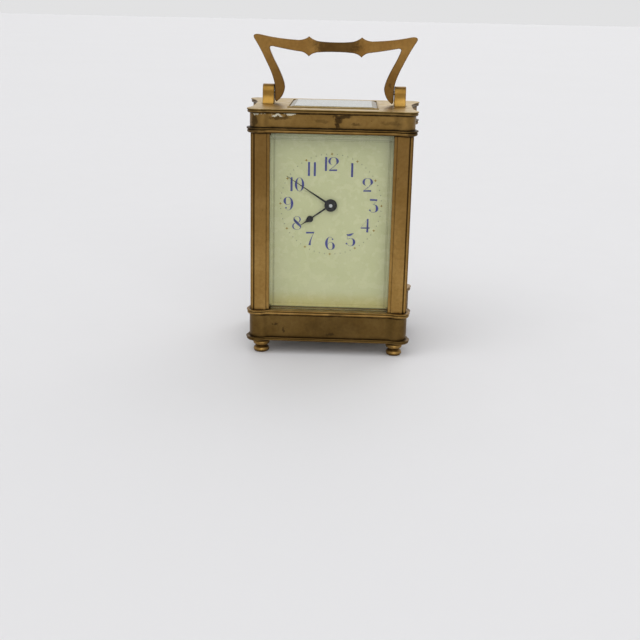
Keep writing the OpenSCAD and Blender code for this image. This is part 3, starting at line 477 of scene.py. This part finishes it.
def dress(node, material, edge=0.0, segments=2, angle=32):
    """Gives a CAD node its finish, and rounds its sharp edges by edge metres where that is not 0.

    Edges that turn by more than angle degrees are sharp.
    """
    obj = frame["nodes"][node]
    mesh = obj.data
    custom = mesh.attributes.get("custom_normal")
    if custom:
        mesh.attributes.remove(custom)
    mesh.materials.clear()
    mesh.materials.append(material)
    weld = obj.modifiers.new("weld", "WELD")
    weld.merge_threshold = 0.001 * MM
    if edge:
        flat = obj.modifiers.new("flat", "DECIMATE")
        flat.decimate_type = "DISSOLVE"
        flat.angle_limit = math.radians(0.5)
        bevel = obj.modifiers.new("edges", "BEVEL")
        bevel.width = edge
        bevel.segments = segments
        bevel.limit_method = "ANGLE"
        bevel.angle_limit = math.radians(angle)
        bevel.miter_outer = "MITER_ARC"
        for polygon in mesh.polygons:
            polygon.use_smooth = True
        obj.modifiers.new("normals", "WEIGHTED_NORMAL")
    else:
        mesh.shade_smooth()
        split = obj.modifiers.new("sharp", "EDGE_SPLIT")
        split.split_angle = math.radians(angle)
        split.use_edge_sharp = False


CORNERS = ("front_left", "front_right", "rear_left", "rear_right")
# how far the edges are rounded, in millimetres
PILLAR_EDGE = 0.28
CASE_EDGES = {
    "plinth_band": (plinth_brass, 0.20), "frieze_band": (frieze_brass, 0.20),
    "door_frame": (case_brass, 0.25), "handle": (handle_brass, 0.55),
    "post_left": (polished_brass, 0.25), "post_right": (polished_brass, 0.25),
}
MOVEMENT_EDGES = {
    "front_plate": (movement_brass, 0.12), "back_plate": (movement_brass, 0.12),
    "platform": (movement_brass, 0.15), "escape_bridge": (movement_brass, 0.10),
    "balance_cock": (movement_brass, 0.15), "barrel_arbor": (steel, 0.12),
    "centre_arbor": (steel, 0.08), "ratchet_wheel": (steel, 0.06), "click": (steel, 0.08),
    "regulator": (steel, 0.05), "hand_collet": (black_steel, 0.08),
    "minute_hand": (black_steel, 0.08), "hour_hand": (black_steel, 0.08),
}
SHARP = {
    polished_brass: ["door_knob", "escape_wheel", "balance_wheel"],
    movement_brass: ["movement_pillars", "barrel", "barrel_cover", "intermediate_wheel",
                     "centre_wheel", "third_wheel", "contrate_wheel", "minute_wheel", "hour_wheel"],
    steel: ["movement_screws", "handle_pins", "cannon_pinion", "pallet_lever", "mainspring"],
    blued_steel: ["pillar_screws", "click_spring", "click_screws", "platform_screws", "hairspring"],
    dusty_glass: ["top_glass"],
    clear_glass: ["front_glass", "left_glass", "right_glass", "door_glass"],
    dial_enamel: ["dial"],
}
# the bevels of a pane turn by much less than other edges
PANE_ANGLE = 5
for place in CORNERS:
    dress(f"pillar_{place}", pillar_brass, PILLAR_EDGE * MM, 3)
    dress(f"foot_{place}", case_brass)
for node, (material, edge) in CASE_EDGES.items():
    dress(node, material, edge * MM, 3)
for node, (material, edge) in MOVEMENT_EDGES.items():
    dress(node, material, edge * MM)
for material, nodes in SHARP.items():
    for node in nodes:
        if node.endswith("_glass"):
            dress(node, material, angle=PANE_ANGLE)
        else:
            dress(node, material)


# ---- mesh helpers ----

# points nearer than this are one point, and edges that turn by less than this many degrees look smooth
SAME_POINT = 0.0002 * MM
SMOOTH_TURN = 38


def make_piece(name, bm, material):
    """Turns a bmesh into a piece of the object that rides on the case."""
    bmesh.ops.remove_doubles(bm, verts=bm.verts, dist=SAME_POINT)
    bmesh.ops.recalc_face_normals(bm, faces=bm.faces)
    mesh = bpy.data.meshes.new(name)
    bm.to_mesh(mesh)
    bm.free()
    mesh.materials.append(material)
    mesh.shade_smooth()
    mesh.set_sharp_from_angle(angle=math.radians(SMOOTH_TURN))
    obj = bpy.data.objects.new(name, mesh)
    bpy.context.scene.collection.objects.link(obj)
    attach(obj, "case")
    return obj


def loft(bm, rings):
    """Joins closed rings of points with faces, and returns the rings' vertices."""
    made = [[bm.verts.new(p) for p in ring] for ring in rings]
    for below, above in zip(made, made[1:]):
        for i in range(len(below)):
            j = (i + 1) % len(below)
            bm.faces.new((below[i], below[j], above[j], above[i]))
    return made


def fill(bm, *rings):
    """Closes the flat area between rings of vertices, the first one being the outer ring."""
    edges = []
    for ring in rings:
        for i in range(len(ring)):
            edges.append(bm.edges.get((ring[i], ring[(i + 1) % len(ring)])))
    bmesh.ops.triangle_fill(bm, use_beauty=True, use_dissolve=False, edges=edges)


def turn(degrees):
    """The unit vector at an angle, anticlockwise from the right."""
    a = math.radians(degrees)
    return Vector((math.cos(a), math.sin(a)))


def sweep(start, end, steps):
    """Evenly spaced values from start to end, both included."""
    return [start + (end - start) * i / steps for i in range(steps + 1)]


# ---- mouldings ----

def hollow(dip, radius):
    """Where the hollow curve beside a lobe has its centre, seen from the lobe's centre."""
    reach = LOBE_R + radius
    return Vector((-math.sqrt(reach ** 2 - (reach - dip) ** 2), reach - dip))


def corner(side_dip):
    """Points and outward normals round one corner, from the front edge to the side edge."""
    points = []
    centre = hollow(FRONT_DIP, HOLLOW_R)
    stop = math.degrees(math.atan2(-centre.y, -centre.x))
    for a in sweep(-90, stop, 6):
        points.append((centre + HOLLOW_R * turn(a), -turn(a)))
    other = hollow(side_dip, SIDE_HOLLOW_R).yx
    first = math.degrees(math.atan2(centre.y, centre.x))
    last = math.degrees(math.atan2(other.y, other.x))
    for a in sweep(first, last, 26)[1:]:
        points.append((LOBE_R * turn(a), turn(a)))
    start = math.degrees(math.atan2(-other.y, -other.x)) % 360
    for a in sweep(start, 180, 10)[1:]:
        points.append((other + SIDE_HOLLOW_R * turn(a), -turn(a)))
    return points


def lobed_outline():
    """Points and normals round the plan of the case, anticlockwise from above."""
    outline = []
    for sx, sy in ((1, -1), (1, 1), (-1, 1), (-1, -1)):
        flare = REAR_FLARE if sy > 0 else 0
        points = corner(SIDE_DIP + flare)
        if sx * sy > 0:
            points.reverse()
        for p, n in points:
            outline.append((Vector((sx * (CASE_HW + flare - LOBE_R + p.x), sy * (CASE_HD - LOBE_R + p.y))),
                            Vector((sx * n.x, sy * n.y))))
    return outline


OUTLINE = lobed_outline()


def ring_at(offset, z):
    """The outline moved outwards by offset, at a height."""
    return [Vector((p.x + n.x * offset, p.y + n.y * offset, z)) for p, n in OUTLINE]


def rectangle(half_w, half_d, z):
    """The corners of a level rectangle, anticlockwise from above."""
    return [Vector((x * half_w, y * half_d, z)) for x, y in ((1, -1), (1, 1), (-1, 1), (-1, -1))]


def nose(z0, z1, grow, round_r, ease=0.75, steps=10):
    """Profile of a moulding as pairs of offset and height, from below: round nose, quirk, fillet.

    grow is how far the fillet stands out, and round_r how far the nose falls back below.
    """
    high = z1 - z0
    profile = []
    for a in sweep(-90, 62, steps):
        t = turn(a)
        profile.append((grow - 0.25 * MM - round_r * (1 - abs(t.x) ** ease), z0 + high * 0.36 * (1 + t.y)))
    profile.append((grow - 0.62 * MM, z0 + high * 0.72))
    profile.append((grow - 0.06 * MM, z0 + high * 0.74))
    profile.append((grow, z0 + high * 0.78))
    profile.append((grow, z1 - 0.12 * MM))
    profile.append((grow - 0.14 * MM, z1))
    return profile


def moulding(name, node, profile, hole=(), material=moulding_brass):
    """A lobed plate with a moulded edge. hole lists the rectangles up through it, from below."""
    bm = bmesh.new()
    rings = loft(bm, [ring_at(out, z) for out, z in profile])
    if hole:
        inner = loft(bm, [rectangle(*r) for r in hole])
        fill(bm, rings[0], inner[0])
        fill(bm, rings[-1], inner[-1])
    else:
        fill(bm, rings[0])
        fill(bm, rings[-1])
    obj = make_piece(name, bm, material)
    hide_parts(node)


def build_mouldings():
    """The four lobed plates. The top one has a window, whose glass lies on a lap inside a raised rim."""
    top_low, top_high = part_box("top_plate")
    plate_top = top_low.z + 2.0 * MM
    play = 0.05 * MM
    glass_hw = top_glass_high.x + play
    glass_hd = top_glass_high.y + play
    seat_z = top_glass_low.z
    rim = 0.5 * MM
    lap = 0.8 * MM
    soft = 0.12 * MM
    well_hw = 28 * MM
    well_hd = 23 * MM
    # the plinth's darker brass on the bottom moulding is painted shade, for its contact shadow near the
    # table
    moulding("bottom_moulding", "bottom_plate",
             nose(bottom_low.z, bottom_high.z, 0.3 * MM, 0.9 * MM), material=plinth_brass)
    moulding("base_ogee", "base_moulding", nose(base_low.z, base_high.z, 0, 1.25 * MM))
    moulding("cornice_nosing", "cornice_moulding",
             nose(cornice_low.z, cornice_high.z, 0.1 * MM, 1.3 * MM),
             [(well_hw, well_hd, cornice_low.z), (well_hw, well_hd, cornice_high.z)])
    moulding("top_moulding", "top_plate",
             nose(frieze_top, plate_top, 0, 0.9 * MM, 0.6),
             [(glass_hw - lap, glass_hd - lap, frieze_top), (glass_hw - lap, glass_hd - lap, seat_z),
              (glass_hw, glass_hd, seat_z), (glass_hw, glass_hd, top_high.z - soft),
              (glass_hw + soft, glass_hd + soft, top_high.z),
              (glass_hw + rim - soft, glass_hd + rim - soft, top_high.z),
              (glass_hw + rim, glass_hd + rim, top_high.z - soft),
              (glass_hw + rim, glass_hd + rim, plate_top)], top_brass)


build_mouldings()


# ---- dial: numerals, five-minute rosettes and minute dots ----

# how far the paint stands out of the enamel, and where its back lies, just inside it
PAINT = 0.05 * MM
SUNK = -0.01 * MM
# the numerals' height, the width of their hairlines and that of their upright bars, in millimetres
CELL = 6.7
HAIR = 0.13
BAR = 1.02


def on_dial(u, v, lift):
    """A place over the dial, u to the right and v up from its centre, in millimetres."""
    return Vector((dial_centre.x + u * MM, dial_low.y - lift, dial_centre.z + v * MM))


def flat_shape(bm, points):
    """A thin raised shape with a closed outline of points on the dial."""
    front = [bm.verts.new(on_dial(*p, PAINT)) for p in points]
    back = [bm.verts.new(on_dial(*p, SUNK)) for p in points]
    bm.faces.new(front)
    bm.faces.new(back[::-1])
    for i in range(len(points)):
        j = (i + 1) % len(points)
        bm.faces.new((front[j], front[i], back[i], back[j]))


def stroke(bm, points, widths):
    """A thin raised ribbon along points, whose width changes along it."""
    left, right = [], []
    for i, p in enumerate(points):
        ahead = points[min(i + 1, len(points) - 1)]
        behind = points[max(i - 1, 0)]
        d = (ahead - behind).normalized()
        side = Vector((-d.y, d.x)) * widths[i] / 2
        left.append(p + side)
        right.append(p - side)
    sides = [[[bm.verts.new(on_dial(*p, lift)) for p in line] for line in (left, right)]
             for lift in (PAINT, SUNK)]
    (fl, fr), (bl, br) = sides
    for i in range(len(points) - 1):
        bm.faces.new((fl[i], fr[i], fr[i + 1], fl[i + 1]))
        bm.faces.new((bl[i], bl[i + 1], br[i + 1], br[i]))
        bm.faces.new((fl[i], fl[i + 1], bl[i + 1], bl[i]))
        bm.faces.new((fr[i], br[i], br[i + 1], fr[i + 1]))
    bm.faces.new((fl[0], bl[0], br[0], fr[0]))
    bm.faces.new((fl[-1], fr[-1], br[-1], bl[-1]))


def curve_points(*corners, steps=14):
    """Points along the Bezier curve that has these control points."""
    points = []
    for t in sweep(0, 1, steps):
        level = [Vector(c) for c in corners]
        while len(level) > 1:
            level = [a.lerp(b, t) for a, b in zip(level, level[1:])]
        points.append(level[0])
    return points


def swell(points, first, middle, last):
    """Widths that go from first through middle to last along the points."""
    n = len(points) - 1
    widths = []
    for i in range(n + 1):
        t = i / n
        ends = first + (last - first) * t
        widths.append(ends + (middle - ends) * math.sin(math.pi * t) ** 1.3)
    return widths


def bowl(bm, at, centre, radii, start, end, right, left, steps=30):
    """An elliptical arc that is thick where it runs upright and a hairline where it lies flat."""
    points, widths = [], []
    for i, a in enumerate(sweep(start, end, steps)):
        t = turn(a)
        points.append(at + Vector((centre[0] + radii[0] * t.x, centre[1] + radii[1] * t.y)))
        full = right if t.x > 0 else left
        fade = min(1.0, 6 * i / steps + 0.15, 6 * (steps - i) / steps + 0.15)
        widths.append(HAIR + (full - HAIR) * abs(t.x) ** 2.2 * fade)
    stroke(bm, points, widths)


def ball(bm, at, place, radius):
    """The round end of a numeral's curl."""
    flat_shape(bm, [at + Vector(place) + radius * turn(a) for a in range(0, 360, 24)])


def line(bm, at, corners, widths):
    """A curved line whose widths are those at its start, middle and end."""
    points = [at + p for p in curve_points(*corners)]
    stroke(bm, points, swell(points, *widths))


def bar(bm, at, *corners):
    """A straight-sided part of a numeral."""
    flat_shape(bm, [at + Vector(c) for c in corners])


# each numeral is drawn round the place of its middle, in millimetres

def one(bm, at):
    h = CELL / 2
    bar(bm, at, (-BAR / 2, -h), (BAR / 2, -h), (BAR / 2, h), (-BAR / 2, h))


def two(bm, at):
    bowl(bm, at, (0, 1.35), (1.95, 1.85), 248, -52, 1.25, 1.1)
    line(bm, at, [(1.2, -0.15), (0.3, -1.3), (-1.8, -2.7)], (0.3, 0.25, HAIR))
    bar(bm, at, (-1.9, -2.65), (1.8, -2.45), (1.85, -3.25), (-2.0, -3.3))


def three(bm, at):
    bar(bm, at, (-1.9, 3.35), (1.75, 3.2), (1.7, 2.35), (-1.8, 2.5))
    line(bm, at, [(1.6, 2.5), (0.8, 1.6), (-0.3, 0.6)], (HAIR, HAIR, HAIR))
    bowl(bm, at, (-0.1, -1.3), (1.85, 1.95), 100, -150, 1.25, 0.4)
    ball(bm, at, (-1.7, -2.2), 0.42)


def four(bm, at):
    h = CELL / 2
    bar(bm, at, (0.5, -h), (1.5, -h), (1.5, h), (0.75, h))
    bar(bm, at, (-2.25, -1.5), (2.1, -1.55), (2.1, -0.8), (-2.25, -1.0))
    line(bm, at, [(0.8, 3.2), (-0.6, 1.0), (-2.2, -1.1)], (0.1, 0.08, 0.08))


def five(bm, at):
    line(bm, at, [(-1.7, 2.6), (-0.7, 1.7), (0.5, 2.7), (1.7, 3.3)], (0.5, 1.05, 0.1))
    line(bm, at, [(-1.5, 2.4), (-1.45, 1.4), (-1.35, 0.3)], (HAIR, HAIR, HAIR))
    bowl(bm, at, (0.15, -1.25), (1.8, 1.95), 140, -150, 1.25, 0.3)
    ball(bm, at, (-1.7, -2.0), 0.45)


def six(bm, at, s=1):
    """Six, or nine when s is -1, which is the same shape upside down."""
    turned = 0 if s > 0 else 180
    bowl(bm, at, (0.05 * s, 0), (1.8, 3.2), 62 + turned, 275 + turned, *(1, 1.25)[::s])
    bowl(bm, at, (0.35 * s, -1.3 * s), (1.5, 1.85), 150 + turned, -200 + turned, *(1.2, 0.25)[::s])
    ball(bm, at, (1.2 * s, 2.1 * s), 0.42)


def seven(bm, at):
    bar(bm, at, (-2.0, 3.3), (2.15, 3.4), (1.7, 2.65), (-1.9, 2.45))
    points = [at + p for p in curve_points((1.8, 2.8), (0.7, 0.6), (-0.1, -1.6), (-0.1, -3.3))]
    last = len(points) - 1
    stroke(bm, points, [HAIR + 1.1 * (i / last) ** 1.5 for i in range(len(points))])


def eight(bm, at):
    bowl(bm, at, (0.05, 1.75), (1.5, 1.5), 150, -210, 0.6, 0.6)
    bowl(bm, at, (0, -1.6), (1.95, 1.7), 40, 400, 0.4, 0.7)
    line(bm, at, [(-1.6, 2.6), (-1.1, 0.5), (1.0, -0.2), (1.9, -2.3)], (0.25, 1.3, 0.25))


def zero(bm, at):
    bowl(bm, at, (0, 0), (1.7, 3.25), 90, 270, 1.15, 1.15)
    bowl(bm, at, (0, 0), (1.7, 3.25), -90, 90, 1.15, 1.15)


def nine(bm, at):
    six(bm, at, -1)


# each hour's figures, with how far each stands to the right of the hour's place
NUMERALS = {
    1: [(one, 0)], 2: [(two, 0)], 3: [(three, 0)], 4: [(four, 0)], 5: [(five, 0)], 6: [(six, 0)],
    7: [(seven, 0)], 8: [(eight, 0)], 9: [(nine, 0)], 10: [(one, -2.75), (zero, 1.08)],
    11: [(one, -1.05), (one, 1.75)], 12: [(one, -2.75), (two, 0.80)],
}
NUMERAL_RING = 19.6
# how much nearer the centre than the ring some numerals stand, below 0 for further out
DRAWN_IN = {2: -0.5, 3: -1.0, 6: 0.5, 8: 0.8, 9: -0.9, 10: 0.7}
DOT_RING = 24.4
DOT_R = 0.28
ROSETTE_R = 0.48
PETAL = 0.17


def clock_place(minutes, radius):
    """A place on the dial at a number of minutes past twelve."""
    return radius * turn(90 - 6 * minutes)


def build_dial_paint():
    """The blue numerals, the gilt rosettes at the hours and the dots at the other minutes."""
    bm = bmesh.new()
    for hour, shapes in NUMERALS.items():
        at = clock_place(5 * hour, NUMERAL_RING - DRAWN_IN.get(hour, 0))
        for shape, shift in shapes:
            shape(bm, at + Vector((shift, 0)))
    make_piece("dial_numerals", bm, numeral_blue)
    rosettes, dots = bmesh.new(), bmesh.new()
    for minute in range(60):
        at = clock_place(minute, DOT_RING)
        if minute % 5:
            flat_shape(dots, [at + DOT_R * turn(a) for a in range(0, 360, 45)])
        else:
            flat_shape(rosettes, [at + (ROSETTE_R + PETAL * math.cos(math.radians(4 * a))) * turn(a)
                                  for a in range(0, 360, 15)])
    make_piece("dial_rosettes", rosettes, gilt)
    make_piece("dial_minute_dots", dots, minute_grey)


build_dial_paint()


# ---- jewels of the platform escapement ----

def jewel(bm, place, radius, height):
    """A domed ring stone with a small oil cup in its middle."""
    profile = [(1.0, 0.0), (1.0, 0.55), (0.86, 0.85), (0.6, 1.0), (0.32, 0.9), (0.12, 0.5)]
    rings = [[place + Vector((radius * r * turn(a).x, radius * r * turn(a).y, height * h))
              for a in range(0, 360, 18)] for r, h in profile]
    made = loft(bm, rings)
    bm.faces.new(made[0][::-1])
    bm.faces.new(made[-1])


def build_jewels():
    """The jewels over the escape wheel's, the lever's and the balance's pivots."""
    bm = bmesh.new()
    sunk = 0.05 * MM
    bridge_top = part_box("escape_bridge")[1].z
    cock_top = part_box("balance_cock")[1].z
    tops = {"escape_turn": bridge_top, "pallet_swing": bridge_top, "balance_swing": cock_top}
    for joint, top in tops.items():
        place = joint_place[joint].copy()
        place.z = top - sunk
        jewel(bm, place, 0.72 * MM, 0.28 * MM)
    make_piece("pivot_jewels", bm, ruby_red)


build_jewels()


# ---- studio ----

def build_floor():
    """The table that the clock stands on."""
    bm = bmesh.new()
    half = 12.0
    bm.faces.new([bm.verts.new(p) for p in rectangle(half, half, 0)])
    mesh = bpy.data.meshes.new("floor")
    bm.to_mesh(mesh)
    bm.free()
    mesh.materials.append(pale_floor("pale_floor"))
    floor = bpy.data.objects.new("floor", mesh)
    bpy.context.scene.collection.objects.link(floor)


def build_world(horizon, zenith):
    """An even pale room that is dimmer overhead."""
    world = bpy.data.worlds.new("studio")
    bpy.context.scene.world = world
    world.use_nodes = True
    tree = world.node_tree
    split = tree.nodes.new("ShaderNodeSeparateXYZ")
    tree.links.new(tree.nodes.new("ShaderNodeTexCoord").outputs["Generated"], split.inputs[0])
    mix = tree.nodes.new("ShaderNodeMix")
    mix.data_type = "RGBA"
    tree.links.new(split.outputs["Z"], mix.inputs[0])
    mix.inputs[6].default_value = (*horizon, 1)
    mix.inputs[7].default_value = (*zenith, 1)
    tree.links.new(mix.outputs[2], tree.nodes["Background"].inputs["Color"])


def soft_sun(name, azimuth, elevation, angle, strength):
    """A broad soft light. Azimuth 0 is in front of the dial and 90 on the side of its 3."""
    data = bpy.data.lights.new(name, "SUN")
    data.angle = math.radians(angle)
    data.energy = strength
    lamp = bpy.data.objects.new(name, data)
    bpy.context.scene.collection.objects.link(lamp)
    a, e = math.radians(azimuth), math.radians(elevation)
    to_lamp = Vector((math.sin(a) * math.cos(e), -math.cos(a) * math.cos(e), math.sin(e)))
    lamp.rotation_euler = to_lamp.to_track_quat("Z", "Y").to_euler()


def build_camera():
    """The camera stands in front of the clock and above its dial, and looks down. Angles are in radians."""
    lens = 58.15
    place = Vector((10.60, -513.74, 165.91)) * MM
    yaw = -0.02969
    down = 0.29565
    roll = 0.02107
    ahead = Vector((math.sin(yaw) * math.cos(down), math.cos(yaw) * math.cos(down), -math.sin(down)))
    level = Vector((math.cos(yaw), -math.sin(yaw), 0))
    raised = level.cross(ahead)
    right = math.cos(roll) * level + math.sin(roll) * raised
    up = -math.sin(roll) * level + math.cos(roll) * raised
    data = bpy.data.cameras.new("camera")
    data.lens = lens
    data.clip_start = 0.01
    data.clip_end = 60
    camera = bpy.data.objects.new("camera", data)
    camera.matrix_world = Matrix((right, up, -ahead)).transposed().to_4x4()
    camera.location = place
    bpy.context.scene.collection.objects.link(camera)
    bpy.context.scene.camera = camera


build_floor()
build_world((0.760, 0.760, 0.765), (0.40, 0.40, 0.41))
soft_sun("key", -35, 58, 50, 0.9)
soft_sun("front", 12, 24, 50, 0.75)
soft_sun("back", 165, 40, 60, 0.7)
build_camera()
bpy.context.scene.view_settings.view_transform = "Standard"
